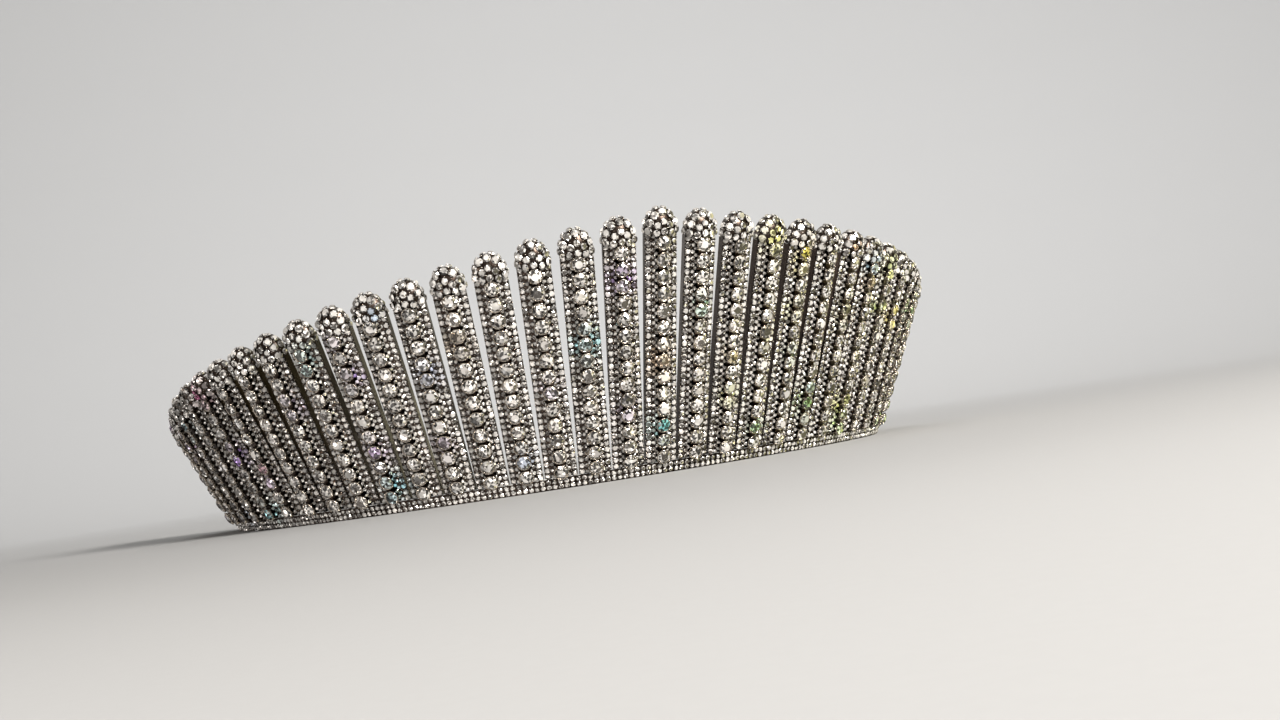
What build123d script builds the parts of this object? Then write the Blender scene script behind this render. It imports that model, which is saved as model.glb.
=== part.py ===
"""A fringe diadem: upright round-topped bars standing on an open base band.

The bars flare outwards and fall in height from the centre front to both ends.
Each bar is one soldered piece: a plate with a sloping border down each side,
a raised rib between them that carries a row of stone cups, and a domed head.
All sizes are in millimetres. +Z is up, -Y is the front, and the origin lies
under the middle of the whole piece, on the plane that it rests on.
"""
import os
from math import cos, degrees, radians, sin, sqrt, tan

from build123d import *

# Plan of the base at the bars' front faces: a front arc and a side arc each side
front_radius = 88.0
side_radius = 72.0
front_half_angle = 40.0
ring_centre_y = 47.59

# The row of bars
bars_a_side = 20
foot_pitch = 7.2
flare_angle = 24.0
centre_length = 55.6
length_step = 1.16
length_curve = 0.020

# Section across a bar: half widths from its middle line, heights from its front face
bar_width = 6.9
back_width = 6.2
back_depth = 2.4
back_chamfer = 0.35
border_inner_half = 1.35
border_outer_rise = 0.1
border_inner_rise = 0.45
channel_depth = 0.3
rib_half_width = 0.8
rib_rise = 1.1

# Domed head of a bar: its tip is a half round of the bar's width, stretched along the bar
head_height = 5.0
head_rise = 2.2
dome_radius = 3.9
tip_stretch = 1.29

# Base band
band_height = 2.4
band_front = 1.1
band_back = 2.7
band_tail = 1.2
seat_gap = 0.15

# Loop at each end of the band: a ring on a tongue that lies against the band's inner face
loop_outer_radius = 2.4
loop_hole_radius = 1.2
loop_thickness = 1.0
loop_reach = 3.2
loop_floor_gap = 0.05
loop_band_gap = 0.12
tongue_length = 5.0
tongue_height = 1.8

front_arc_length = front_radius * radians(front_half_angle)
band_half_length = bars_a_side * foot_pitch + bar_width / 2 + band_tail


def plan_angle(distance):
    """Angle from the front, in degrees, at a distance along the plan from its middle."""
    beyond = abs(distance) - front_arc_length
    if beyond <= 0:
        return degrees(distance / front_radius)
    angle = front_half_angle + degrees(beyond / side_radius)
    return angle if distance > 0 else -angle


def plan_arc(angle):
    """Centre and radius of the plan arc that holds an angle, as x, y and radius."""
    if abs(angle) <= front_half_angle:
        return 0.0, ring_centre_y, front_radius
    shift = front_radius - side_radius
    turn = radians(front_half_angle)
    centre_x = shift * sin(turn) if angle > 0 else -shift * sin(turn)
    return centre_x, ring_centre_y - shift * cos(turn), side_radius


def plan_point(distance, offset=0.0):
    """Point on the plan, moved outwards by offset, and its angle from the front."""
    angle = plan_angle(distance)
    centre_x, centre_y, radius = plan_arc(angle)
    turn = radians(angle)
    reach = radius + offset
    return centre_x + reach * sin(turn), centre_y - reach * cos(turn), angle


def closed_face(corners):
    """A flat face inside a closed run of straight lines."""
    return make_face(Polyline(*corners, close=True).edges())


def bar_length(index):
    """Length of a bar from the band's top to its own tip, shorter towards the ends."""
    step = abs(index)
    return centre_length - length_step * step - length_curve * step * step


def bar_section():
    """Section across a bar: x along its width, y out of its front."""
    half = [
        (back_width / 2 - back_chamfer, -back_depth),
        (back_width / 2, -back_depth + back_chamfer),
        (bar_width / 2, 0.0),
        (bar_width / 2, border_outer_rise),
        (border_inner_half, border_inner_rise),
        (border_inner_half, -channel_depth),
        (rib_half_width, -channel_depth),
        (rib_half_width, rib_rise),
    ]
    mirrored = [(-x, y) for x, y in reversed(half)]
    return closed_face(half + mirrored)


def head_section():
    """Section across the head: the bar's back, and a round front in place of its borders and rib."""
    half_width = bar_width / 2
    centre = head_rise - dome_radius
    rim = centre + sqrt(dome_radius ** 2 - half_width ** 2)
    middle = (dome_radius * sin(radians(30)), centre + dome_radius * cos(radians(30)))
    sides = Polyline(
        (0, head_rise),
        (0, -back_depth),
        (back_width / 2 - back_chamfer, -back_depth),
        (back_width / 2, -back_depth + back_chamfer),
        (half_width, 0),
        (half_width, rim),
    )
    front = ThreePointArc((half_width, rim), middle, (0, head_rise))
    return make_face(sides.edges() + front.edges())


def across(height):
    """Plane square to a bar at a height: x along its width, y out of its front."""
    return Plane(origin=(0, height, 0), x_dir=(1, 0, 0), z_dir=(0, -1, 0))


def upright_bar(length):
    """A bar in its own frame: x along its width, y up its length, z out of its front."""
    spare = 4.0
    neck = length - head_height
    centre = length - tip_stretch * bar_width / 2
    shaft = extrude(across(-spare) * bar_section(), -(neck + spare))
    right_half = extrude(across(neck) * head_section(), neck - centre)
    half_round = revolve(across(0) * head_section(), Axis.Z, 180)
    tip = Pos(0, centre, 0) * scale(half_round, by=(1, tip_stretch, 1))
    return shaft + right_half + mirror(right_half, about=Plane.YZ) + tip


def bar(index):
    """A bar in its place, its foot cut level just above the band's top."""
    x, y, angle = plan_point(index * foot_pitch)
    turn = radians(angle)
    lean = radians(flare_angle)
    outwards = (sin(turn) * cos(lean), -cos(turn) * cos(lean), -sin(lean))
    place = Plane(origin=(x, y, band_height), x_dir=(cos(turn), sin(turn), 0), z_dir=outwards)
    waste_size = 4 * bar_width
    waste_box = Box(waste_size, waste_size, waste_size, align=(Align.CENTER, Align.CENTER, Align.MAX))
    waste = Pos(x, y, band_height + seat_gap) * waste_box
    return place * upright_bar(bar_length(index)) - waste


def band_arc(start, end):
    """The band between two angles of one plan arc; its front face leans out as the bars do."""
    centre_x, centre_y, radius = plan_arc((start + end) / 2)
    turn = radians(start)
    plane = Plane(origin=(centre_x, centre_y, 0), x_dir=(sin(turn), -cos(turn), 0), z_dir=(-cos(turn), -sin(turn), 0))
    inner = radius - band_back
    outer_top = radius + band_front
    outer_bottom = outer_top - band_height * tan(radians(flare_angle))
    corners = [(inner, 0), (outer_bottom, 0), (outer_top, band_height), (inner, band_height)]
    axis = Axis((centre_x, centre_y, 0), (0, 0, 1))
    return revolve(plane * closed_face(corners), axis, end - start)


def base_band():
    """The open band: one front arc and a side arc at each end of it."""
    end_angle = plan_angle(band_half_length)
    front = band_arc(-front_half_angle, front_half_angle)
    right = band_arc(front_half_angle, end_angle)
    left = band_arc(-end_angle, -front_half_angle)
    return front + right + left


def end_loop(side):
    """A flat ring just past the band's end, on a tongue behind the band; side is 1 or -1."""
    x, y, angle = plan_point(side * (band_half_length - tongue_length / 2), -band_back - loop_band_gap)
    turn = radians(angle)
    along_band = (side * cos(turn), side * sin(turn), 0)
    place = Plane(origin=(x, y, 0), x_dir=along_band, z_dir=(side * sin(turn), side * -cos(turn), 0))
    level = loop_outer_radius + loop_floor_gap
    ring_x = tongue_length / 2 + loop_reach
    tongue_span = ring_x + tongue_length / 2
    tongue = Pos(ring_x - tongue_span / 2, level) * Rectangle(tongue_span, tongue_height)
    ring = Pos(ring_x, level) * Circle(loop_outer_radius)
    hole = Pos(ring_x, level) * Circle(loop_hole_radius)
    return extrude(place * (tongue + ring - hole), -side * loop_thickness)


def bar_name(index):
    """Node name of a bar; left is the left side as seen from the front."""
    if index == 0:
        return "bar_centre"
    side = "right" if index > 0 else "left"
    return f"bar_{side}_{abs(index):02d}"


def main():
    """Write one STEP file for each piece."""
    os.makedirs("parts", exist_ok=True)
    export_step(base_band(), "parts/base_band.step")
    export_step(end_loop(-1), "parts/end_loop_left.step")
    export_step(end_loop(1), "parts/end_loop_right.step")
    for index in range(-bars_a_side, bars_a_side + 1):
        export_step(bar(index), f"parts/{bar_name(index)}.step")


main()
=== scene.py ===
"""Looks of the fringe diadem: stones, their settings, the metal finishes and the stage, built round the
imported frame.

The file is laid out as an add-on and is run as a script. Lengths in the code are millimetres until a mesh
is made.
"""

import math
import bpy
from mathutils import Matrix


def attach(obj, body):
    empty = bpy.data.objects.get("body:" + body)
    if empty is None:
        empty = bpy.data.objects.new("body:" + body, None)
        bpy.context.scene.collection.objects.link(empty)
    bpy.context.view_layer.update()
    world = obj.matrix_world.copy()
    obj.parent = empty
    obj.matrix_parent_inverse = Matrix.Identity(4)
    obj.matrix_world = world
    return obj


bl_info = {
    "name": "Fringe Diadem",
    "version": (1, 0, 0),
    "blender": (4, 5, 0),
    "location": "3D View > Sidebar > Diadem",
    "description": "Stones, settings, finishes and stage of a fringe diadem",
    "category": "Object",
}

import bpy
import numpy as np
from mathutils import Matrix

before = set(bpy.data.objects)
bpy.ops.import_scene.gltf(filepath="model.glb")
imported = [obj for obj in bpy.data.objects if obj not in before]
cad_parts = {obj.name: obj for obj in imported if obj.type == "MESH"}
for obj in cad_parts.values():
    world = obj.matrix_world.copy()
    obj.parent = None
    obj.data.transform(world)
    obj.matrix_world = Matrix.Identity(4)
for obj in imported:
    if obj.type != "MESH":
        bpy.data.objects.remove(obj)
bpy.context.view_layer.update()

MM = 0.001

# The plan of the band: a front arc, and a tighter arc at each side.
FRONT_RADIUS = 88.0
SIDE_RADIUS = 72.0
FRONT_HALF_ANGLE = math.radians(40.0)
RING_CENTRE_Y = 47.59
SIDE_CENTRE_X = (FRONT_RADIUS - SIDE_RADIUS) * math.sin(FRONT_HALF_ANGLE)
SIDE_CENTRE_Y = RING_CENTRE_Y - (FRONT_RADIUS - SIDE_RADIUS) * math.cos(FRONT_HALF_ANGLE)
FLARE = math.radians(24.0)

# The bars, as they are cut in the frame.
BARS_A_SIDE = 20
FOOT_PITCH = 7.2
BAND_HEIGHT = 2.4
CENTRE_LENGTH = 55.6
LENGTH_STEP = 1.16
LENGTH_CURVE = 0.020
BAR_HALF_WIDTH = 3.45
BORDER_INNER = 1.35
BORDER_OUTER_RISE = 0.1
BORDER_INNER_RISE = 0.45
HEAD_HEIGHT = 5.0
DOME_RADIUS = 3.9
DOME_DROP = 1.7
TIP_STRETCH = 1.29
FOOT_CUT = 0.17
BAND_HALF_LENGTH = 148.65
BAND_TOP_OFFSET = 1.1
BAND_BOTTOM_OFFSET = 0.03

# Heights from the bars' front edges between which the painted shade on their metal fades, from full among
# the stones to none on the backs.
BACK_RELIEF = (-1.7, -2.3)

# The row stones: height of their girdles, share with a plain bright table, and the cup's wall round the
# stone.
ROW_STONE_RISE = 1.93
ROW_PLAIN_TABLES = 0.3
CUP_WALL = 0.17
CLAW_RISE = 1.75
CLAW_LEAN = 0.28

# The borders: room kept at both ends, each column's distance from the middle, and sizes.
BORDER_FOOT_ROOM = 0.55
BORDER_TOP_ROOM = 0.7
BORDER_COLUMNS = (1.72, 2.82)
INNER_SHARE = 0.72
GRAIN_COLUMNS = (1.43, 2.22, 3.38)
GRAIN_RADIUS = 0.13
CHANNEL_COLUMN = 1.25
CHANNEL_RISE = 0.72
CHANNEL_SHARE = 0.65

# The heads: each ring is its radius, its first and last angle and its count of places.
HEAD_RINGS = ((2.92, 0.0, 180.0, 7), (1.6, -8.0, 188.0, 5), (0.1, 90.0, 90.0, 1))
HEAD_GRAIN_RINGS = ((3.44, 13.4, 166.6, 6), (2.2, 22.0, 158.0, 5), (0.9, 40.0, 140.0, 2))
HEAD_GRAIN_RADIUS = 0.15
RIM_COUNT = 8
RIM_DROP = -0.8
SMALLER_SHARE = 0.84

# The rows on the band, as shares of its slanted height.
BAND_ROWS = (0.27, 0.71)
BAND_END_ROOM = 1.0

# Sides of every stone's table.
TABLE_SIDES = 8

# Stones that are lit all over, and how far a fire may take the other colours away.
GLARE_SHARE = 0.035
DEEPEST_FIRE = 0.65

# Hues of the fire: mostly violet and blue from the left side to the centre, mostly yellow and green at
# the right.
LEFT_FIRE = np.array([0.74, 0.73, 0.71, 0.61, 0.54, 0.44, 0.92, 0.09])
RIGHT_FIRE = np.array([0.16, 0.18, 0.22, 0.27, 0.33, 0.16, 0.09, 0.57])


# Settings.

def length_setting(**words):
    """A length, kept in metres."""
    return bpy.props.FloatProperty(precision=5, unit="LENGTH", **words)


def colour_setting(**words):
    """A colour of three parts."""
    return bpy.props.FloatVectorProperty(size=3, min=0.0, max=1.0, subtype="COLOR", **words)


def power_setting(**words):
    """The power of a light, in watts."""
    return bpy.props.FloatProperty(min=0.0, unit="POWER", **words)


class StoneSettings(bpy.types.PropertyGroup):
    """Sizes and colours of the cut stones."""

    row_diameter: length_setting(
        name="Row stone",
        description="Diameter of the stones that run up the middle of each bar",
        default=0.0029,
        min=0.001,
    )
    row_pitch: length_setting(
        name="Row pitch",
        description="Distance from one row stone to the next",
        default=0.00355,
        min=0.002,
    )
    border_diameter: length_setting(
        name="Border stone",
        description="Diameter of the small stones beside the row",
        default=0.0013,
        min=0.0005,
    )
    border_pitch: length_setting(
        name="Border pitch",
        description="Distance from one border stone to the next",
        default=0.00142,
        min=0.0008,
    )
    head_diameter: length_setting(
        name="Head stone",
        description="Diameter of the stones on the rounded head of each bar",
        default=0.0018,
        min=0.0005,
    )
    band_diameter: length_setting(
        name="Band stone",
        description="Diameter of the stones in the two rows of the band",
        default=0.0011,
        min=0.0005,
    )
    band_pitch: length_setting(
        name="Band pitch",
        description="Distance from one band stone to the next",
        default=0.00125,
        min=0.0008,
    )
    colour: colour_setting(
        name="Stone colour",
        description="Body colour of every stone",
        default=(0.98, 0.94, 0.89),
    )
    fire: bpy.props.FloatProperty(
        name="Fire",
        description="Depth of the spectral colour in the patches of stones that show one",
        default=0.52,
        min=0.0,
        max=1.0,
        subtype="FACTOR",
    )
    fire_patches: bpy.props.IntProperty(
        name="Fire patches",
        description="Number of patches of stones that show a spectral colour",
        default=80,
        min=0,
        max=200,
    )


class MetalSettings(bpy.types.PropertyGroup):
    """Colours of the metal finishes."""

    polish_colour: colour_setting(
        name="Polished metal",
        description="Colour of the cups, claws and grains",
        default=(0.5, 0.45, 0.39),
    )
    bar_colour: colour_setting(
        name="Bar metal",
        description="Colour of the raised metal of the bars and the band",
        default=(0.6, 0.55, 0.49),
    )
    # Painted shade: the darker colour the metal takes in the channels, between the bars and among the
    # stones on the bars' fronts.
    painted_shade_colour: colour_setting(
        name="Metal in painted shade",
        description="Colour of the metal in the channels and between the bars",
        default=(0.05, 0.037, 0.03),
    )


class StageSettings(bpy.types.PropertyGroup):
    """Floor colour and the strength of the lights."""

    floor_colour: colour_setting(
        name="Floor",
        description="Colour of the floor and the backdrop",
        default=(0.47, 0.467, 0.463),
    )
    key_power: power_setting(
        name="Key light",
        description="Power of the light at the front right",
        default=12.5,
    )
    backdrop_power: power_setting(
        name="Backdrop light",
        description="Power of the light on the backdrop",
        default=24.0,
    )


# Objects.

def add_object(name, data):
    """A new object in the scene, at the origin."""
    made = bpy.data.objects.new(name, data)
    bpy.context.scene.collection.objects.link(made)
    return made


def turn_object(made, right, up, back, place):
    """Turns a lamp or a camera so that its own axes lie along right, up and back, and puts it in its
    place."""
    turned = Matrix([list(row) for row in np.stack([right, up, back], -1)]).to_4x4()
    turned.translation = place
    made.matrix_world = turned


# Places.

def bar_length(index):
    """Length of a bar from its origin: the centre length, less a step for each bar away from the centre,
    less a little more with the square of that count."""
    count = np.abs(index)
    return CENTRE_LENGTH - LENGTH_STEP * count - LENGTH_CURVE * count**2


def plan_frame(distance, offset=0.0):
    """Point, turn and outward direction at a distance along the plan from the front.

    The turn is distance over the front radius up to forty degrees, then the rest over the side radius.
    The point is the arc's centre plus the radius, and any offset, along the outward direction (sine,
    minus cosine)."""
    distance = np.asarray(distance, float)
    front_length = FRONT_RADIUS * FRONT_HALF_ANGLE
    beyond = np.maximum(np.abs(distance) - front_length, 0.0)
    turn = np.where(
        beyond > 0,
        np.sign(distance) * (FRONT_HALF_ANGLE + beyond / SIDE_RADIUS),
        distance / FRONT_RADIUS,
    )
    side = np.sign(distance) * (beyond > 0)
    radius = np.where(beyond > 0, SIDE_RADIUS, FRONT_RADIUS) + offset
    centre_x = side * SIDE_CENTRE_X
    centre_y = np.where(beyond > 0, SIDE_CENTRE_Y, RING_CENTRE_Y)
    x = centre_x + radius * np.sin(turn)
    y = centre_y - radius * np.cos(turn)
    return x, y, turn


def leaning_axes(turn):
    """Across, up and outward directions at each turn of the plan. The last two lean out by the flare."""
    sine, cosine, zero = np.sin(turn), np.cos(turn), np.zeros_like(turn)
    across = np.stack([cosine, sine, zero], -1)
    up = np.stack([sine * math.sin(FLARE), -cosine * math.sin(FLARE), zero + math.cos(FLARE)], -1)
    out = np.stack([sine * math.cos(FLARE), -cosine * math.cos(FLARE), zero - math.sin(FLARE)], -1)
    return across, up, out


def bar_axes(index):
    """Origin, across, up and outward directions of each bar, one row each."""
    x, y, turn = plan_frame(FOOT_PITCH * np.asarray(index, float))
    return np.stack([x, y, np.full_like(x, BAND_HEIGHT)], -1), *leaning_axes(turn)


def unit(vectors):
    """Vectors brought to a length of one."""
    return vectors / np.linalg.norm(vectors, axis=1, keepdims=True)


def flat(vectors, normals):
    """Unit directions of what is left of vectors without their parts along unit normals."""
    return unit(vectors - np.sum(vectors * normals, 1, keepdims=True) * normals)


def on_bars(index, local, normal):
    """Turns places given as (across, up, out) on the bar of each index, and their normals, into the row's
    frame.

    Returns centres, and three unit directions: first and second in the plane of each place, third its
    normal. The first is the part of the bar's across direction in that plane, or of its up direction
    where the normal runs across."""
    origin, across, up, out = bar_axes(index)
    centres = origin + local[:, :1] * across + local[:, 1:2] * up + local[:, 2:] * out
    third = unit(normal[:, :1] * across + normal[:, 1:2] * up + normal[:, 2:] * out)
    runs_across = np.abs(np.sum(across * third, 1, keepdims=True)) > 0.99
    first = flat(np.where(runs_across, up, across), third)
    return centres, first, np.cross(third, first), third


def nudge(frame_axes, degrees, seed):
    """Tips each place by a small random angle about both of its flat directions, and spins it about its
    normal, as hand-set stones are."""
    centres, first, second, third = frame_axes
    random = np.random.default_rng(seed)
    count = len(centres)
    tip = np.radians(degrees) * np.clip(random.normal(size=(count, 2)), -2, 2)
    third = unit(third + tip[:, :1] * first + tip[:, 1:] * second)
    first = flat(first, third)
    second = np.cross(third, first)
    spin = random.uniform(0, 2 * math.pi, count)[:, None]
    turned = np.cos(spin) * first + np.sin(spin) * second
    return centres, turned, np.cross(third, turned), third


# Shapes.

def ring(count, radius, height, start=0.0):
    """One ring of points round the third axis: radius times (cosine, sine) of equal steps, all at one
    height."""
    turn = 2 * math.pi * (np.arange(count) + start) / count
    return np.stack([radius * np.cos(turn), radius * np.sin(turn), np.full(count, float(height))], -1)


def fan(pole, start, count, upward):
    """Triangles from a pole to each side of a ring that begins at a given point number."""
    here = start + np.arange(count)
    after = start + (np.arange(count) + 1) % count
    sides = [here, after] if upward else [after, here]
    return np.stack([np.full(count, pole), *sides], -1)


def between(lower, upper, count):
    """Two triangles between each side of a lower ring and the same side of an upper ring of as many
    points."""
    here = np.arange(count)
    after = (here + 1) % count
    first = np.stack([lower + here, lower + after, upper + after], -1)
    second = np.stack([lower + here, upper + after, upper + here], -1)
    return np.concatenate([first, second])


def revolved(profile, count):
    """A closed shape of revolution: a profile of (radius, height) points carried round the third axis in
    equal steps, from a pole at its first height to a pole at its last."""
    rings = [ring(count, radius, height) for radius, height in profile[1:-1]]
    points = np.concatenate([[[0, 0, profile[0][1]]], *rings, [[0, 0, profile[-1][1]]]])
    faces = [fan(0, 1, count, False)]
    for step in range(len(rings) - 1):
        faces.append(between(1 + step * count, 1 + (step + 1) * count, count))
    faces.append(fan(len(points) - 1, 1 + (len(rings) - 1) * count, count, True))
    return points, np.concatenate(faces)


def small_cut():
    """A small stone of unit radius: a table, a ring of three-cornered crown facets down to the girdle,
    which is turned by half a step, and a pointed back. Heights are shares of the radius."""
    sides = TABLE_SIDES
    table, girdle = 1, 1 + sides
    rings = [ring(sides, 0.64, 0.34), ring(sides, 1.0, 0.0, 0.5)]
    points = np.concatenate([[[0, 0, 0.36]], *rings, [[0, 0, -0.75]]])
    here = np.arange(sides)
    after = (here + 1) % sides
    crown = [
        np.stack([table + here, girdle + here, table + after], -1),
        np.stack([table + after, girdle + here, girdle + after], -1),
    ]
    faces = [fan(0, table, sides, True), *crown, fan(len(points) - 1, girdle, sides, False)]
    return points, np.concatenate(faces)


def brilliant_cut():
    """A round brilliant of unit radius: an eight-sided table, eight star facets, eight kites, sixteen upper
    girdle facets and a sixteen-sided pavilion. The middle ring lies in the planes of the kites."""
    table, middle, girdle = 1, 9, 17
    drop = 0.33 / 0.44
    step = math.pi / 8
    middle_height = 0.34 - drop * (0.79 * math.cos(step) - 0.56)
    rings = [ring(8, 0.56, 0.34), ring(8, 0.79, middle_height, 0.5), ring(16, 1.0, 0.01)]
    points = np.concatenate([[[0, 0, 0.35]], *rings, [[0, 0, -0.78]]])
    here = np.arange(8)
    after = (here + 1) % 8
    before = (here - 1) % 8
    corner, half, corner_after = girdle + 2 * here, girdle + 2 * here + 1, girdle + 2 * after
    crown = [
        np.stack([table + here, middle + here, table + after], -1),
        np.stack([table + here, corner, middle + here], -1),
        np.stack([table + here, middle + before, corner], -1),
        np.stack([middle + here, corner, half], -1),
        np.stack([middle + here, half, corner_after], -1),
    ]
    faces = [fan(0, table, 8, True), *crown, fan(len(points) - 1, girdle, 16, False)]
    return points, np.concatenate(faces)


def repeated(shape, frame_axes, size):
    """Carries one shape to many places at once: centre plus size times the shape's own coordinates along
    the three directions of each place."""
    points, faces = shape
    centres, first, second, third = frame_axes
    count = len(centres)
    size = np.broadcast_to(np.asarray(size, float).reshape(-1, 1, 1), (count, 1, 1))
    all_points = (
        centres[:, None]
        + size * points[None, :, :1] * first[:, None]
        + size * points[None, :, 1:2] * second[:, None]
        + size * points[None, :, 2:] * third[:, None]
    )
    offsets = len(points) * np.arange(count)[:, None, None]
    return all_points.reshape(-1, 3), (faces[None] + offsets).reshape(-1, 3)


def fire_tints(centres, depth, count):
    """Colour by which the light of each stone is multiplied, from patches of fire at random places on the
    bars.

    A patch has a hue and a size. Its depth at a stone falls with the exponential of minus the squared
    share of their distance in that size, and every patch takes its share of the other two colours away."""
    random = np.random.default_rng(31)
    index = random.integers(-BARS_A_SIDE, BARS_A_SIDE + 1, count)
    height = random.uniform(0.04, 0.96, count) * bar_length(index)
    local = np.stack([random.uniform(-1.5, 1.5, count), height, np.full(count, 1.5)], -1)
    middles = on_bars(index, local, np.tile([0.0, 0.0, 1.0], (count, 1)))[0]
    size = random.uniform(1.2, 3.2, count)
    pick = random.integers(len(LEFT_FIRE), size=count)
    hue = np.where(index > 1, RIGHT_FIRE[pick], LEFT_FIRE[pick]) + 0.015 * random.normal(size=count)
    pure = np.clip(np.abs((6 * hue[:, None] + [0, 4, 2]) % 6 - 3) - 1, 0, 1)
    depth = depth * random.uniform(0.5, 1.5, count)
    away = np.linalg.norm(centres[:, None] - middles[None], axis=2) / size
    random = np.random.default_rng(32)
    weight = depth * np.exp(-(away**2)) * random.uniform(0.3, 1.4, (len(centres), 1))
    return np.prod(1 - np.clip(weight, 0, DEEPEST_FIRE)[:, :, None] * (1 - pure), axis=1)


def stone_values(centres, sides, whole, seed):
    """Random numbers for stones of so many facets each, the first eight of them in the table.

    Each facet gets a tip in three directions about a half, a third as large in the table, and a shade. A
    share of the stones, the whole ones, show their table as one bright mirror. Each stone gets its fire
    and its brightness, and a few stones are lit all over."""
    random = np.random.default_rng(seed)
    count = len(centres)
    stones = bpy.context.scene.diadem_stones
    tip = random.random((count, sides, 3)) - 0.5
    table = slice(TABLE_SIDES)
    tip[:, table] *= 0.34
    shade = random.random((count, sides, 1))
    mirror = random.random((count, 1, 1)) < whole
    tip[:, table] = np.where(mirror, tip[:, :1], tip[:, table])
    shade[:, table] = np.where(mirror, 0.5 + 0.5 * shade[:, :1], shade[:, table])
    bright = 0.55 + 0.45 * random.random((count, 1, 1))
    glare = random.random((count, 1, 1)) > 1 - GLARE_SHARE
    bright = np.where(glare, 1.0, bright)
    shade = np.where(glare, 0.55 + 0.4 * shade, shade)
    facet = np.concatenate([tip + 0.5, shade], -1)
    tint = fire_tints(centres, stones.fire, stones.fire_patches)[:, None]
    stone = np.repeat(np.concatenate([tint, bright], -1), sides, 1)
    return {"facet": facet.reshape(-1, 4), "stone": stone.reshape(-1, 4)}


def piece(name, points, faces, material, slot, smooth=False, values=None):
    """Makes a mesh piece from points in millimetres and triangles, and lets it ride on the frame. The
    values are four numbers for each triangle, under the name of the attribute that holds them."""
    mesh = bpy.data.meshes.new(name)
    mesh.vertices.add(len(points))
    mesh.vertices.foreach_set("co", (points * MM).astype(np.float32).ravel())
    mesh.loops.add(3 * len(faces))
    mesh.loops.foreach_set("vertex_index", faces.astype(np.int32).ravel())
    mesh.polygons.add(len(faces))
    mesh.polygons.foreach_set("loop_start", np.arange(0, 3 * len(faces), 3, dtype=np.int32))
    mesh.update(calc_edges=True)
    if smooth:
        mesh.shade_smooth()
    else:
        mesh.shade_flat()
    for label, numbers in (values or {}).items():
        attribute = mesh.attributes.new(label, "FLOAT_COLOR", "FACE")
        attribute.data.foreach_set("color", numbers.astype(np.float32).ravel())
    mesh.materials.append(material)
    made = add_object(name, mesh)
    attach(made, "root")


# Shader nodes.

def put(tree, kind, x, y, **settings):
    """Adds a node at a place in the tree and sets its own settings."""
    made = tree.nodes.new(kind)
    made.location = (x, y)
    for name, value in settings.items():
        setattr(made, name, value)
    return made


def feed(tree, socket, value):
    """Links an output to a socket, or sets the socket to a plain value."""
    if isinstance(value, bpy.types.NodeSocket):
        tree.links.new(value, socket)
    else:
        socket.default_value = value


def set_inputs(node, values):
    """Sets sockets of a node, each by its label, to plain values."""
    for label, value in values.items():
        node.inputs[label].default_value = value


def maths(tree, operation, first, second=0.0, third=0.0, clamp=False):
    """A Math node's result."""
    made = put(tree, "ShaderNodeMath", 0, 0, operation=operation, use_clamp=clamp)
    for socket, value in zip(made.inputs, (first, second, third)):
        feed(tree, socket, value)
    return made.outputs[0]


def mixed(tree, factor, first, second, blend="MIX"):
    """A colour Mix node's result."""
    made = put(tree, "ShaderNodeMix", 0, 0, data_type="RGBA", blend_type=blend)
    feed(tree, made.inputs["Factor"], factor)
    feed(tree, made.inputs[6], first)
    feed(tree, made.inputs[7], second)
    return made.outputs[2]


def smooth_range(tree, value, low, high, out_low=0.0, out_high=1.0):
    """A smooth Map Range node's result."""
    made = put(tree, "ShaderNodeMapRange", 0, 0, interpolation_type="SMOOTHSTEP")
    for socket, item in zip(made.inputs, (value, low, high, out_low, out_high)):
        feed(tree, socket, item)
    return made.outputs[0]


def noise(tree, place, scale, detail, y=0.0):
    """A Noise Texture node at a place, with its scale and detail."""
    made = put(tree, "ShaderNodeTexNoise", -1200, y)
    feed(tree, made.inputs["Vector"], place)
    feed(tree, made.inputs["Scale"], scale)
    feed(tree, made.inputs["Detail"], detail)
    return made


def new_group(name, inputs, outputs):
    """An empty node group with named sockets. Each input is (name, kind, default), each output (name,
    kind)."""
    group = bpy.data.node_groups.new(name, "ShaderNodeTree")
    for label, kind, default in inputs:
        socket = group.interface.new_socket(name=label, in_out="INPUT", socket_type=kind)
        socket.default_value = default
    for label, kind in outputs:
        group.interface.new_socket(name=label, in_out="OUTPUT", socket_type=kind)
    return group, put(group, "NodeGroupInput", -900, 0), put(group, "NodeGroupOutput", 900, 0)


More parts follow.
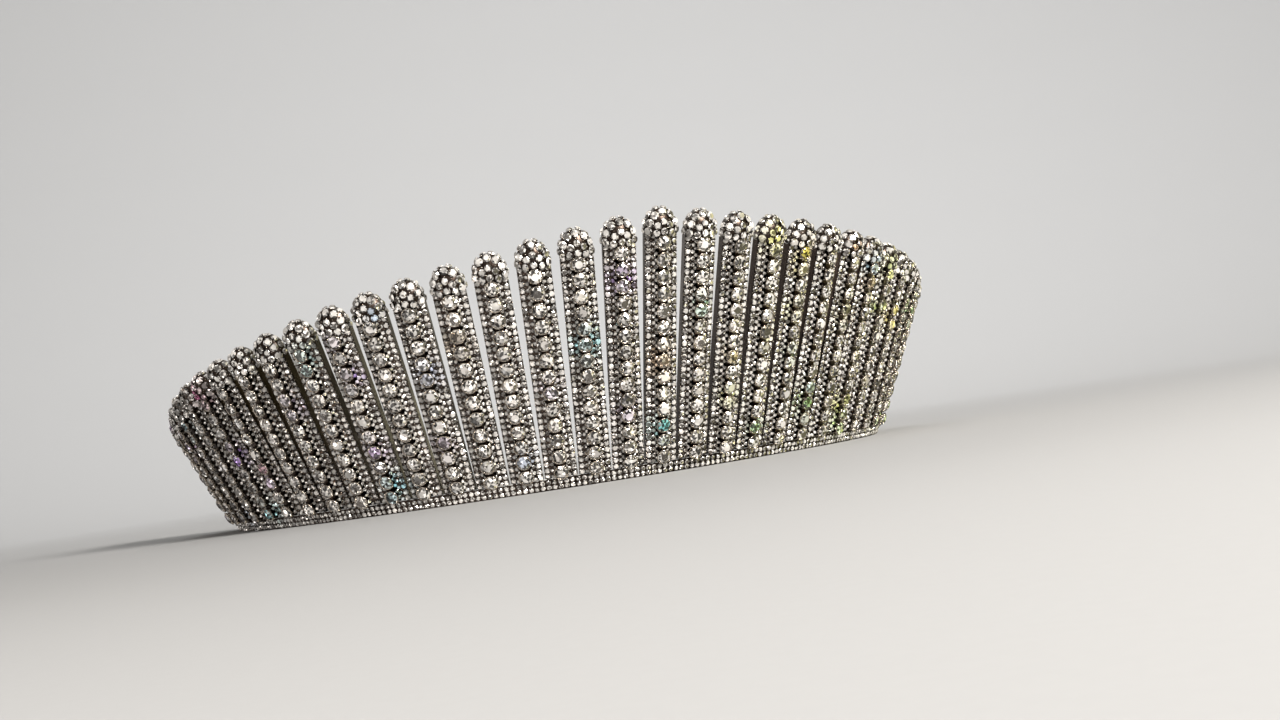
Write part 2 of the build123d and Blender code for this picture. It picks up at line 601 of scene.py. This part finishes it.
def relief_group():
    """Node group that says how much shade is painted on the metal: 1 among the stones, and 0 on the bars'
    backs. It goes by how far a point stands out from the cone through the bars' front edges, in
    millimetres.

    On that cone the distance from the arc's centre in plan is the arc's radius plus the height above the
    band times the tangent of the flare. The arc is a side one where the point lies beyond forty degrees."""
    group, _, result = new_group("Bar Relief", [], [("Painted Shade", "NodeSocketFloat")])
    coordinates = put(group, "ShaderNodeTexCoord", -1500, 0)
    split = put(group, "ShaderNodeSeparateXYZ", -1300, 0)
    scaled = put(group, "ShaderNodeVectorMath", -1400, 0, operation="SCALE")
    feed(group, scaled.inputs[0], coordinates.outputs["Object"])
    feed(group, scaled.inputs["Scale"], 1.0 / MM)
    feed(group, split.inputs[0], scaled.outputs[0])
    x = maths(group, "ABSOLUTE", split.outputs[0])
    y, z = split.outputs[1], split.outputs[2]
    ahead = maths(group, "SUBTRACT", RING_CENTRE_Y, y)
    lead = maths(group, "MULTIPLY", x, math.cos(FRONT_HALF_ANGLE))
    trail = maths(group, "MULTIPLY", ahead, math.sin(FRONT_HALF_ANGLE))
    side = maths(group, "GREATER_THAN", lead, trail)
    centre_x = maths(group, "MULTIPLY", side, SIDE_CENTRE_X)
    centre_y = maths(group, "MULTIPLY_ADD", side, SIDE_CENTRE_Y - RING_CENTRE_Y, RING_CENTRE_Y)
    radius = maths(group, "MULTIPLY_ADD", side, SIDE_RADIUS - FRONT_RADIUS, FRONT_RADIUS)
    dx = maths(group, "SUBTRACT", x, centre_x)
    dy = maths(group, "SUBTRACT", y, centre_y)
    square = maths(group, "ADD", maths(group, "MULTIPLY", dx, dx), maths(group, "MULTIPLY", dy, dy))
    plan = maths(group, "SUBTRACT", maths(group, "SQRT", square), radius)
    height = maths(group, "SUBTRACT", z, BAND_HEIGHT)
    lean = maths(group, "MULTIPLY", height, math.tan(FLARE))
    relief = maths(group, "MULTIPLY", maths(group, "SUBTRACT", plan, lean), math.cos(FLARE))
    back = smooth_range(group, relief, *BACK_RELIEF)
    # The amount of painted shade: full among the stones, none on the backs.
    feed(group, result.inputs["Painted Shade"], maths(group, "SUBTRACT", 1.0, back))
    return group


def metal_group():
    """Node group of worn, polished cast metal: a colour that darkens in patches of tarnish and under
    painted shade in recesses, a roughness that varies with the same patches and with fine scratches, and a
    height for the bump."""
    group, given, result = new_group(
        "Worn Metal",
        [
            ("Metal Colour", "NodeSocketColor", (0.8, 0.8, 0.8, 1)),
            ("Painted Shade Colour", "NodeSocketColor", (0.2, 0.2, 0.2, 1)),
            ("Painted Shade", "NodeSocketFloat", 0.0),
            ("Roughness", "NodeSocketFloat", 0.2),
            ("Tarnish", "NodeSocketFloat", 0.3),
            ("Scratches", "NodeSocketFloat", 0.3),
        ],
        [("Color", "NodeSocketColor"), ("Roughness", "NodeSocketFloat"), ("Height", "NodeSocketFloat")],
    )
    coordinates = put(group, "ShaderNodeTexCoord", -1500, 0)
    place = coordinates.outputs["Object"]
    patches = noise(group, place, 210.0, 4.0, 300)
    feed(group, patches.inputs["Roughness"], 0.62)
    skin = noise(group, place, 1900.0, 2.0)
    stretch = put(group, "ShaderNodeMapping", -1350, -300)
    feed(group, stretch.inputs["Vector"], place)
    feed(group, stretch.inputs["Scale"], (5200.0, 5200.0, 420.0))
    feed(group, stretch.inputs["Rotation"], (0.25, 0.1, 0.0))
    scratch = noise(group, stretch.outputs[0], 1.0, 1.0, -300)
    line = smooth_range(group, scratch.outputs["Fac"], 0.56, 0.72)
    cloud = smooth_range(group, patches.outputs["Fac"], 0.38, 0.7)
    stain = maths(group, "MULTIPLY", cloud, given.outputs["Tarnish"])
    # The painted shade in the recesses, or the tarnish where that is darker, turns the metal colour towards
    # the shade colour.
    shade = maths(group, "MAXIMUM", given.outputs["Painted Shade"], stain, clamp=True)
    warm = mixed(group, shade, given.outputs["Metal Colour"], given.outputs["Painted Shade Colour"])
    rough = maths(group, "MULTIPLY_ADD", cloud, 0.16, given.outputs["Roughness"])
    worn = maths(group, "MULTIPLY", line, given.outputs["Scratches"])
    rough = maths(group, "MULTIPLY_ADD", worn, 0.2, rough, clamp=True)
    height = maths(group, "MULTIPLY_ADD", worn, -0.6, skin.outputs["Fac"])
    feed(group, result.inputs["Color"], warm)
    feed(group, result.inputs["Roughness"], rough)
    feed(group, result.inputs["Height"], height)
    return group


def facet_group():
    """Node group of the light in a cut stone, from the random numbers of its facets and of the whole
    stone.

    The facet's numbers tip its normal, as the facets of the back seen through it do, and say whether it
    is dark, lit or a mirror. The stone's numbers are the tint of its fire and how bright it is."""
    group, given, result = new_group(
        "Stone Light",
        [
            ("Body Colour", "NodeSocketColor", (0.9, 0.9, 0.9, 1)),
            ("Tip", "NodeSocketFloat", 0.5),
            ("Dark Share", "NodeSocketFloat", 0.3),
            ("Mirror Share", "NodeSocketFloat", 0.3),
        ],
        [("Color", "NodeSocketColor"), ("Metallic", "NodeSocketFloat"), ("Normal", "NodeSocketVector")],
    )
    facet = put(group, "ShaderNodeAttribute", -1200, 0, attribute_name="facet")
    stone = put(group, "ShaderNodeAttribute", -1200, -200, attribute_name="stone")
    centred = put(group, "ShaderNodeVectorMath", -1000, 0, operation="MULTIPLY_ADD")
    feed(group, centred.inputs[0], facet.outputs["Vector"])
    centred.inputs[1].default_value = (2.0, 2.0, 2.0)
    centred.inputs[2].default_value = (-1.0, -1.0, -1.0)
    tipped = put(group, "ShaderNodeVectorMath", -800, 0, operation="SCALE")
    feed(group, tipped.inputs[0], centred.outputs[0])
    feed(group, tipped.inputs["Scale"], given.outputs["Tip"])
    surface = put(group, "ShaderNodeNewGeometry", -1000, 300)
    added = put(group, "ShaderNodeVectorMath", -600, 0, operation="ADD")
    feed(group, added.inputs[0], surface.outputs["Normal"])
    feed(group, added.inputs[1], tipped.outputs[0])
    unit = put(group, "ShaderNodeVectorMath", -400, 0, operation="NORMALIZE")
    feed(group, unit.inputs[0], added.outputs[0])
    draw = facet.outputs["Alpha"]
    edge = maths(group, "ADD", given.outputs["Dark Share"], 0.1)
    lit = smooth_range(group, draw, given.outputs["Dark Share"], edge, 0.06, 1.0)
    body = mixed(group, 1.0, given.outputs["Body Colour"], stone.outputs["Color"], "MULTIPLY")
    shown = put(group, "ShaderNodeVectorMath", -400, -300, operation="SCALE")
    feed(group, shown.inputs[0], body)
    feed(group, shown.inputs["Scale"], maths(group, "MULTIPLY", lit, stone.outputs["Alpha"]))
    mirror_from = maths(group, "SUBTRACT", 1.0, given.outputs["Mirror Share"])
    mirror = maths(group, "GREATER_THAN", draw, mirror_from)
    # The colour carries painted light and shade: the lit and dark facets, the stone's brightness, the
    # stones lit all over and the fire's tint.
    feed(group, result.inputs["Color"], shown.outputs[0])
    feed(group, result.inputs["Metallic"], maths(group, "MULTIPLY_ADD", mirror, 0.65, 0.3))
    feed(group, result.inputs["Normal"], unit.outputs[0])
    return group


GROUPS = {}


def placed_group(tree, name, x, y):
    """A group node in a material's tree. The group itself is built once."""
    makers = {"Bar Relief": relief_group, "Worn Metal": metal_group, "Stone Light": facet_group}
    if name not in GROUPS:
        GROUPS[name] = makers[name]()
    return put(tree, "ShaderNodeGroup", x, y, node_tree=GROUPS[name])


def blank_material(name):
    """A material with a Principled shader, and its tree and shader."""
    material = bpy.data.materials.new(name)
    material.use_nodes = True
    tree = material.node_tree
    return material, tree, tree.nodes["Principled BSDF"]


def metal_material(name, colour, painted_recess_shade, roughness, tarnish, scratches, with_relief, bump):
    """Polished metal with worn patches. With relief, shade is painted into its recesses and over its front
    among the set stones.
    """
    material, tree, shader = blank_material(name)
    worn = placed_group(tree, "Worn Metal", -500, 0)
    set_inputs(worn, {"Metal Colour": (*colour, 1), "Painted Shade Colour": (*painted_recess_shade, 1)})
    set_inputs(worn, {"Roughness": roughness, "Tarnish": tarnish, "Scratches": scratches})
    if with_relief:
        # The relief decides where the painted shade falls on this metal.
        relief = placed_group(tree, "Bar Relief", -800, 0)
        feed(tree, worn.inputs["Painted Shade"], relief.outputs["Painted Shade"])
    raised = put(tree, "ShaderNodeBump", -250, -300)
    set_inputs(raised, {"Strength": bump, "Distance": 0.00004})
    feed(tree, raised.inputs["Height"], worn.outputs["Height"])
    shader.inputs["Metallic"].default_value = 1.0
    feed(tree, shader.inputs["Base Color"], worn.outputs["Color"])
    feed(tree, shader.inputs["Roughness"], worn.outputs["Roughness"])
    feed(tree, shader.inputs["Normal"], raised.outputs[0])
    return material


def stone_material(name, settings, tip, dark, mirror):
    """A bright cut stone: the light that comes back out of its lit facets is painted into its colour, its
    back is a mirror behind others, and its own faces are a clear coat."""
    material, tree, shader = blank_material(name)
    light = placed_group(tree, "Stone Light", -400, 0)
    set_inputs(light, {"Body Colour": (*settings.colour, 1), "Tip": tip})
    set_inputs(light, {"Dark Share": dark, "Mirror Share": mirror})
    set_inputs(shader, {"Roughness": 0.07, "Coat Weight": 1.0, "Coat Roughness": 0.02, "Coat IOR": 1.7})
    feed(tree, shader.inputs["Base Color"], light.outputs["Color"])
    feed(tree, shader.inputs["Metallic"], light.outputs["Metallic"])
    feed(tree, shader.inputs["Normal"], light.outputs["Normal"])
    return material


# Stones: tip of the facets, share of dark facets, share of mirrors.
STONE_FINISHES = {"row stone": (0.5, 0.3, 0.3), "small stone": (0.45, 0.2, 0.26)}

# Metals: roughness, tarnish, scratches, whether shade is painted into the recesses, bump.
METAL_FINISHES = {
    "polished setting": (0.12, 0.12, 0.2, False, 0.1),
    "bar metal": (0.18, 0.35, 0.5, True, 0.25),
    "band metal": (0.18, 0.3, 0.5, True, 0.25),
    "loop metal": (0.3, 0.25, 0.8, False, 0.4),
}
MATERIALS = {}


def material_named(name):
    """A finish by its name. Each is made when it is first asked for."""
    metal = bpy.context.scene.diadem_metal
    if name in MATERIALS:
        return MATERIALS[name]
    if name in STONE_FINISHES:
        made = stone_material(name, bpy.context.scene.diadem_stones, *STONE_FINISHES[name])
    else:
        colour = metal.polish_colour if name == "polished setting" else metal.bar_colour
        made = metal_material(name, tuple(colour), tuple(metal.painted_shade_colour), *METAL_FINISHES[name])
    MATERIALS[name] = made
    return made


# Places of the stones.

def row_places(pitch):
    """Places of the row stones: equal steps along each rib, from the foot to the head, as many as come
    nearest to the wanted pitch. Returns bar indexes and distances up the bar."""
    indexes, heights = [], []
    for index in range(-BARS_A_SIDE, BARS_A_SIDE + 1):
        top = bar_length(index) - HEAD_HEIGHT
        count = int(round((top - FOOT_CUT) / pitch))
        indexes.append(np.full(count, index))
        heights.append(FOOT_CUT + (top - FOOT_CUT) * (np.arange(count) + 0.5) / count)
    return np.concatenate(indexes), np.concatenate(heights)


def row_frames(pitch, out):
    """Frames of the row stones' places, at one height above the bar's front plane."""
    index, height = row_places(pitch)
    local = np.stack([np.zeros(len(index)), height, np.full(len(index), out)], -1)
    normal = np.tile([0.0, 0.0, 1.0], (len(index), 1))
    return on_bars(index, local, normal)


def border_places(pitch, columns, half_step):
    """Places along the sloped borders, for each column's distance from the middle, on both sides of every
    bar.

    The border's surface rises from its outer edge to its inner edge in a straight line."""
    rise = (BORDER_INNER_RISE - BORDER_OUTER_RISE) / (BAR_HALF_WIDTH - BORDER_INNER)
    indexes, local, normal = [], [], []
    for index in range(-BARS_A_SIDE, BARS_A_SIDE + 1):
        top = bar_length(index) - HEAD_HEIGHT - BORDER_TOP_ROOM
        bottom = FOOT_CUT + BORDER_FOOT_ROOM
        count = int(round((top - bottom) / pitch))
        steps = np.arange(count) if half_step else np.arange(count + 1)
        height = bottom + (top - bottom) * (steps + 0.5 * half_step) / count
        ones = np.ones(len(height))
        for side in (-1, 1):
            for across in columns:
                out = BORDER_OUTER_RISE + rise * (BAR_HALF_WIDTH - across)
                indexes.append(np.full(len(height), index))
                local.append(np.stack([side * across * ones, height, out * ones], -1))
                normal.append(np.stack([side * rise * ones, 0 * ones, ones], -1))
    return np.concatenate(indexes), np.concatenate(local), np.concatenate(normal)


def lifted(frame_axes, height):
    """The same frames, moved along their normals."""
    centres, first, second, third = frame_axes
    return centres + height * third, first, second, third


def even_turns(first, last, count):
    """Angles between two given in degrees that step evenly along a stretched ring. The ring's length up
    to an angle is the running sum of the root of (sine squared plus the stretch squared times cosine
    squared) above the centre, and of the plain angle below it."""
    fine = np.radians(np.linspace(first, last, 400))
    above = np.sin(fine) > 0
    rate = np.where(above, np.hypot(np.sin(fine), TIP_STRETCH * np.cos(fine)), 1.0)
    run = np.concatenate([[0.0], np.cumsum((rate[1:] + rate[:-1]) / 2)])
    return np.interp(np.linspace(0, run[-1], count), run, fine)


def head_places(rings):
    """Places on the heads. Each ring is (radius, first angle, last angle, count) about the head's centre,
    and a ring of one is a single place. Above that centre the head is a ball stretched along the bar: its
    height is the root of the dome radius squared less the squares of both distances, the one along the
    bar before its stretch. Below the centre the head is a round rod of the same radius."""
    across, along = [], []
    for radius, first, last, count in rings:
        turn = even_turns(first, last, count)
        across.append(radius * np.cos(turn))
        along.append(radius * np.sin(turn))
    across, along = np.concatenate(across), np.concatenate(along)
    rounded = np.maximum(along, 0.0)
    out = np.sqrt(DOME_RADIUS**2 - across**2 - rounded**2)
    local = np.stack([across, np.where(along > 0, TIP_STRETCH * along, along), out - DOME_DROP], -1)
    return on_heads(local, np.stack([across, rounded / TIP_STRETCH, out], -1))


def rim_places(count, out):
    """Places round the top wall of the heads, square to it, in even steps along its half oval."""
    turn = even_turns(0, 180, count)
    local = np.stack([np.cos(turn), TIP_STRETCH * np.sin(turn), np.zeros(count)], -1) * BAR_HALF_WIDTH
    normal = np.stack([np.cos(turn), np.sin(turn) / TIP_STRETCH, np.zeros(count)], -1)
    return on_heads(local + [0, 0, out], normal)


def on_heads(local, normal):
    """Repeats places round one head's centre, and their normals, on the head of every bar."""
    bars = np.arange(-BARS_A_SIDE, BARS_A_SIDE + 1)
    centre = np.repeat(bar_length(bars) - TIP_STRETCH * BAR_HALF_WIDTH, len(local))
    local = np.tile(local, (len(bars), 1))
    local[:, 1] += centre
    return np.repeat(bars, len(local) // len(bars)), local, np.tile(normal, (len(bars), 1))


def band_frames(pitch, shares):
    """Frames along the band's slanted front, for each share of its slant height."""
    reach = BAND_HALF_LENGTH - BAND_END_ROOM
    distance = np.linspace(-1, 1, int(2 * reach / pitch)) * reach
    sets = []
    for share in shares:
        offset = BAND_BOTTOM_OFFSET + share * (BAND_TOP_OFFSET - BAND_BOTTOM_OFFSET)
        x, y, turn = plan_frame(distance, offset)
        centre = np.stack([x, y, np.full_like(x, share * BAND_HEIGHT)], -1)
        first, second, third = leaning_axes(turn)
        sets.append((centre, first, second, third))
    return tuple(np.concatenate(items) for items in zip(*sets))


# Operators.

def pave(name, frames, size, seed):
    """Makes one piece of small stones, one at each frame."""
    cut = small_cut()
    values = stone_values(frames[0], len(cut[1]), 1.0, seed)
    piece(name, *repeated(cut, frames, size), material_named("small stone"), "cut_stone", False, values)


def scatter_grains(name, frames, radius):
    """Makes one piece of the small round grains that hold stones, one at each frame."""
    grain = revolved([(0, -1.0), (0.85, -0.7), (1.0, 0.3), (0, 1.1)], 6)
    grains = repeated(grain, frames, radius)
    piece(name, *grains, material_named("polished setting"), "bar_metal", True)


class DIADEM_OT_row_stones(bpy.types.Operator):
    """Set a brilliant, its cup and its four claws at each place of the rows"""

    bl_idname = "diadem.row_stones"
    bl_label = "Row Stones"

    def execute(self, context):
        stones = context.scene.diadem_stones
        pitch = stones.row_pitch / MM
        radius = stones.row_diameter / MM / 2
        places = row_frames(pitch, ROW_STONE_RISE)
        cut = brilliant_cut()
        set_stones = repeated(cut, nudge(places, 4.5, 11), radius)
        values = stone_values(places[0], len(cut[1]), ROW_PLAIN_TABLES, 21)
        piece("row_stones", *set_stones, material_named("row stone"), "cut_stone", False, values)

        rim = radius + CUP_WALL
        outside = [(0.0, 1.0), (0.86, 1.0), (1.2, 1.32), (rim - 0.06, 1.78), (rim, 1.95)]
        inside = [(rim - 0.06, 2.03), (rim - 0.2, 1.96), (rim - 0.42, 1.66), (0.35, 1.14), (0.0, 1.1)]
        cups = repeated(revolved(outside + inside, 16), row_frames(pitch, 0.0), 1.0)
        piece("row_cups", *cups, material_named("polished setting"), "bar_metal", True)

        centres, first, second, third = row_frames(pitch, 0.0)
        claw = revolved([(0, -0.5), (0.13, -0.42), (0.19, 0.1), (0.2, 0.34), (0.13, 0.5), (0, 0.56)], 7)
        sets = []
        for quarter in range(4):
            turn = math.radians(45 + 90 * quarter)
            towards = math.cos(turn) * first + math.sin(turn) * second
            lean = unit(third - CLAW_LEAN * towards)
            across = unit(np.cross(towards, lean))
            centre = centres + (rim - 0.1) * towards + CLAW_RISE * third
            sets.append((centre, np.cross(across, lean), across, lean))
        frames = tuple(np.concatenate(items) for items in zip(*sets))
        claws = repeated(claw, frames, 1.0)
        piece("row_claws", *claws, material_named("polished setting"), "bar_metal", True)
        return {"FINISHED"}


class DIADEM_OT_border_stones(bpy.types.Operator):
    """Pave both borders of each bar with small stones and the grains that hold them"""

    bl_idname = "diadem.border_stones"
    bl_label = "Border Stones"

    def execute(self, context):
        stones = context.scene.diadem_stones
        pitch = stones.border_pitch / MM
        radius = stones.border_diameter / MM / 2
        index, local, normal = border_places(pitch, BORDER_COLUMNS, False)
        outer = np.abs(local[:, 0]) > np.mean(BORDER_COLUMNS)
        sizes = radius * np.where(outer, 1.0, INNER_SHARE)
        frames = lifted(nudge(on_bars(index, local, normal), 6.0, 12), 0.12)
        pave("border_stones", frames, sizes, 22)

        frames = lifted(on_bars(*border_places(pitch, GRAIN_COLUMNS, True)), 0.1)
        scatter_grains("border_grains", frames, GRAIN_RADIUS)

        index, local, normal = border_places(pitch, (CHANNEL_COLUMN,), True)
        local[:, 2] = CHANNEL_RISE
        normal = np.stack([np.sign(local[:, 0]), 0 * local[:, 0], np.ones(len(local))], -1)
        frames = nudge(on_bars(index, local, normal), 6.0, 16)
        pave("channel_stones", frames, CHANNEL_SHARE * radius, 25)
        return {"FINISHED"}


class DIADEM_OT_head_stones(bpy.types.Operator):
    """Pave the rounded head of each bar"""

    bl_idname = "diadem.head_stones"
    bl_label = "Head Stones"

    def execute(self, context):
        stones = context.scene.diadem_stones
        radius = stones.head_diameter / MM / 2
        outer, inner, middle = (places[-1] for places in HEAD_RINGS)
        shares = np.repeat([1.0, SMALLER_SHARE], [outer, inner + middle])
        domes = lifted(nudge(on_bars(*head_places(HEAD_RINGS)), 7.0, 13), 0.2)
        rims = nudge(on_bars(*rim_places(RIM_COUNT, RIM_DROP)), 5.0, 15)
        bars = 2 * BARS_A_SIDE + 1
        sizes = radius * np.concatenate([np.tile(shares, bars), np.full(RIM_COUNT * bars, SMALLER_SHARE)])
        frames = tuple(np.concatenate(pair) for pair in zip(domes, rims))
        pave("head_stones", frames, sizes, 23)

        scatter_grains("head_grains", on_bars(*head_places(HEAD_GRAIN_RINGS)), HEAD_GRAIN_RADIUS)
        return {"FINISHED"}


class DIADEM_OT_band_stones(bpy.types.Operator):
    """Set the two rows of small stones along the front of the band"""

    bl_idname = "diadem.band_stones"
    bl_label = "Band Stones"

    def execute(self, context):
        stones = context.scene.diadem_stones
        pitch = stones.band_pitch / MM
        radius = stones.band_diameter / MM / 2
        frames = lifted(nudge(band_frames(pitch, BAND_ROWS), 5.0, 14), 0.05)
        pave("band_stones", frames, radius, 24)
        return {"FINISHED"}


class DIADEM_OT_finishes(bpy.types.Operator):
    """Give each part of the frame its metal finish"""

    bl_idname = "diadem.finishes"
    bl_label = "Metal Finishes"

    def execute(self, context):
        finishes = {"bar": "bar metal", "end": "loop metal", "base": "band metal"}
        for name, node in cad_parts.items():
            node.data.materials.clear()
            node.data.materials.append(material_named(finishes[name.split("_")[0]]))
        return {"FINISHED"}


# Stage.

def bowl(material):
    """The floor and its backdrop in one: a disc that turns up all round in a quarter of a circle. The
    profile is carried round the vertical axis, with its middle closed by a pole."""
    flat, bend, rise = 0.6, 1.4, 0.4
    turn = np.linspace(0, math.pi / 2, 13)
    radii = np.concatenate([[0.12, 0.25, 0.45], flat + bend * np.sin(turn), [flat + bend]])
    heights = np.concatenate([[0, 0, 0], bend * (1 - np.cos(turn)), [bend + rise]])
    count = 96
    rings = [ring(count, radius, height) for radius, height in zip(radii, heights)]
    points = np.concatenate([[[0, 0, 0]], *rings])
    faces = [fan(0, 1, count, True)]
    for step in range(len(rings) - 1):
        faces.append(between(1 + (step + 1) * count, 1 + step * count, count))
    faces = np.concatenate(faces)
    mesh = bpy.data.meshes.new("floor")
    mesh.from_pydata(points.tolist(), [], faces.tolist())
    mesh.shade_smooth()
    mesh.materials.append(material)
    return add_object("floor", mesh)


def floor_material(colour):
    """Plain pale paper with a hardly visible grain."""
    material, tree, shader = blank_material("pale floor")
    coordinates = put(tree, "ShaderNodeTexCoord", -900, 0)
    grain = noise(tree, coordinates.outputs["Object"], 900.0, 2.0)
    darker = tuple(0.97 * value for value in colour)
    paper = mixed(tree, grain.outputs["Fac"], (*colour, 1), (*darker, 1))
    feed(tree, shader.inputs["Base Color"], paper)
    set_inputs(shader, {"Roughness": 0.85, "Specular IOR Level": 0.2})
    return material


def world_spots(tree, direction, scale, edge, power):
    """Round bright spots all over the world: a power where the nearest Voronoi point is closer than the
    edge."""
    spots = put(tree, "ShaderNodeTexVoronoi", -900, -300)
    feed(tree, spots.inputs["Vector"], direction)
    spots.inputs["Scale"].default_value = scale
    glow = smooth_range(tree, spots.outputs["Distance"], edge, 0.88 * edge)
    return maths(tree, "MULTIPLY", glow, power)


def studio_world():
    """The studio round the object. The camera and matt surfaces meet an even pale light. Polished
    surfaces meet a dim room with small lamps all round. It is more yellow to the right, brighter above,
    and dark low down at the back, where it has none of the wide windows."""
    world = bpy.data.worlds.new("studio")
    bpy.context.scene.world = world
    world.use_nodes = True
    tree = world.node_tree
    tree.nodes.clear()
    coordinates = put(tree, "ShaderNodeTexCoord", -1500, 0)
    direction = coordinates.outputs["Generated"]
    split = put(tree, "ShaderNodeSeparateXYZ", -1300, 0)
    feed(tree, split.inputs[0], direction)
    sideways = smooth_range(tree, split.outputs[0], 0.0, 0.95)
    room = mixed(tree, sideways, (0.1, 0.088, 0.08, 1), (0.11, 0.1, 0.045, 1))
    above = smooth_range(tree, split.outputs[2], 0.2, 0.95)
    room = mixed(tree, above, room, (0.26, 0.25, 0.24, 1))
    upper = smooth_range(tree, split.outputs[2], -0.1, 0.3)
    behind = smooth_range(tree, split.outputs[1], 0.2, 0.8)
    room = mixed(tree, maths(tree, "MULTIPLY", behind, upper), room, (0.4, 0.38, 0.35, 1))
    low_behind = maths(tree, "MULTIPLY", behind, maths(tree, "SUBTRACT", 1.0, upper))
    open_side = maths(tree, "SUBTRACT", 1.0, low_behind)
    room = mixed(tree, low_behind, room, (0.04, 0.033, 0.03, 1))
    windows = maths(tree, "MULTIPLY", world_spots(tree, direction, 3.4, 0.44, 0.9), open_side)
    strength = maths(tree, "ADD", windows, world_spots(tree, direction, 6.0, 0.22, 5.0))
    lamp = put(tree, "ShaderNodeVectorMath", -500, -300, operation="SCALE")
    feed(tree, lamp.inputs[0], mixed(tree, sideways, (1, 0.96, 0.92, 1), (0.68, 0.64, 0.36, 1)))
    feed(tree, lamp.inputs["Scale"], strength)
    lit = mixed(tree, 1.0, room, lamp.outputs[0], "ADD")
    rays = put(tree, "ShaderNodeLightPath", -300, 300)
    seen = mixed(tree, rays.outputs["Is Glossy Ray"], (0.14, 0.14, 0.14, 1), lit)
    background = put(tree, "ShaderNodeBackground", 300, 0)
    feed(tree, background.inputs["Color"], seen)
    output = put(tree, "ShaderNodeOutputWorld", 500, 0)
    tree.links.new(background.outputs[0], output.inputs["Surface"])


def area_light(name, place, target, size, power, colour):
    """A square area light that points at a target."""
    data = bpy.data.lights.new(name, "AREA")
    data.size = size
    data.energy = power
    data.color = colour
    back = np.array(place, float) - np.array(target, float)
    back /= np.linalg.norm(back)
    right = np.cross([0, 0, 1], back)
    right /= np.linalg.norm(right)
    made = add_object(name, data)
    turn_object(made, right, np.cross(back, right), back, place)
    return made


def photo_camera():
    """The camera at the photo's angle: azimuth, elevation and roll about a target, at a fitted distance."""
    azimuth, elevation, roll = (math.radians(value) for value in (-19.384, -2.707, -8.601))
    target = np.array([0.02524, 0.03470, 0.02833])
    distance = 0.4
    outward = np.array([math.sin(azimuth), -math.cos(azimuth), 0.0])
    back = math.cos(elevation) * outward + [0.0, 0.0, math.sin(elevation)]
    level = np.array([math.cos(azimuth), math.sin(azimuth), 0.0])
    upright = np.cross(back, level)
    right = level * math.cos(roll) + upright * math.sin(roll)
    up = -level * math.sin(roll) + upright * math.cos(roll)
    data = bpy.data.cameras.new("photo camera")
    data.sensor_width = 36.0
    data.lens = 36.0 * 1500.0 / 1280.0
    data.clip_start, data.clip_end = 0.01, 20.0
    made = add_object("photo camera", data)
    turn_object(made, right, up, back, target + distance * back)
    bpy.context.scene.camera = made


class DIADEM_OT_stage(bpy.types.Operator):
    """Lay the floor and backdrop, and place the lights and the camera"""

    bl_idname = "diadem.stage"
    bl_label = "Stage"

    def execute(self, context):
        stage = context.scene.diadem_stage
        floor = bowl(floor_material(tuple(stage.floor_colour)))
        floor.visible_glossy = False
        studio_world()
        area_light("key", (0.22, -0.73, 0.36), (0, -0.03, 0.03), 0.24, stage.key_power, (1, 0.97, 0.93))
        place = (0.2, 0.4, 1.2)
        backdrop = area_light("backdrop", place, (0.65, 1.85, 0.45), 0.8, stage.backdrop_power, (1, 1, 1))
        backdrop.visible_glossy = False
        photo_camera()
        context.scene.view_settings.view_transform = "Standard"
        return {"FINISHED"}


class DIADEM_PT_panel(bpy.types.Panel):
    """Sidebar panel with the diadem's sizes, colours and steps"""

    bl_idname = "DIADEM_PT_panel"
    bl_label = "Fringe Diadem"
    bl_space_type = "VIEW_3D"
    bl_region_type = "UI"
    bl_category = "Diadem"

    def draw(self, context):
        layout = self.layout
        for owner in (context.scene.diadem_stones, context.scene.diadem_metal, context.scene.diadem_stage):
            box = layout.box()
            for name in owner.__annotations__:
                box.prop(owner, name)
        for operator in STEPS:
            layout.operator(operator.bl_idname)


STEPS = (
    DIADEM_OT_finishes,
    DIADEM_OT_row_stones,
    DIADEM_OT_border_stones,
    DIADEM_OT_head_stones,
    DIADEM_OT_band_stones,
    DIADEM_OT_stage,
)
GROUPED = (StoneSettings, MetalSettings, StageSettings)
CLASSES = (*GROUPED, *STEPS, DIADEM_PT_panel)


def register():
    """Registers the classes and hangs the settings on the scene."""
    for item in CLASSES:
        bpy.utils.register_class(item)
    bpy.types.Scene.diadem_stones = bpy.props.PointerProperty(type=StoneSettings)
    bpy.types.Scene.diadem_metal = bpy.props.PointerProperty(type=MetalSettings)
    bpy.types.Scene.diadem_stage = bpy.props.PointerProperty(type=StageSettings)


def unregister():
    """Takes the settings off the scene and unregisters the classes."""
    del bpy.types.Scene.diadem_stage
    del bpy.types.Scene.diadem_metal
    del bpy.types.Scene.diadem_stones
    for item in reversed(CLASSES):
        bpy.utils.unregister_class(item)


def main():
    register()
    bpy.ops.diadem.finishes()
    bpy.ops.diadem.row_stones()
    bpy.ops.diadem.border_stones()
    bpy.ops.diadem.head_stones()
    bpy.ops.diadem.band_stones()
    bpy.ops.diadem.stage()


if __name__ == "__main__":
    main()
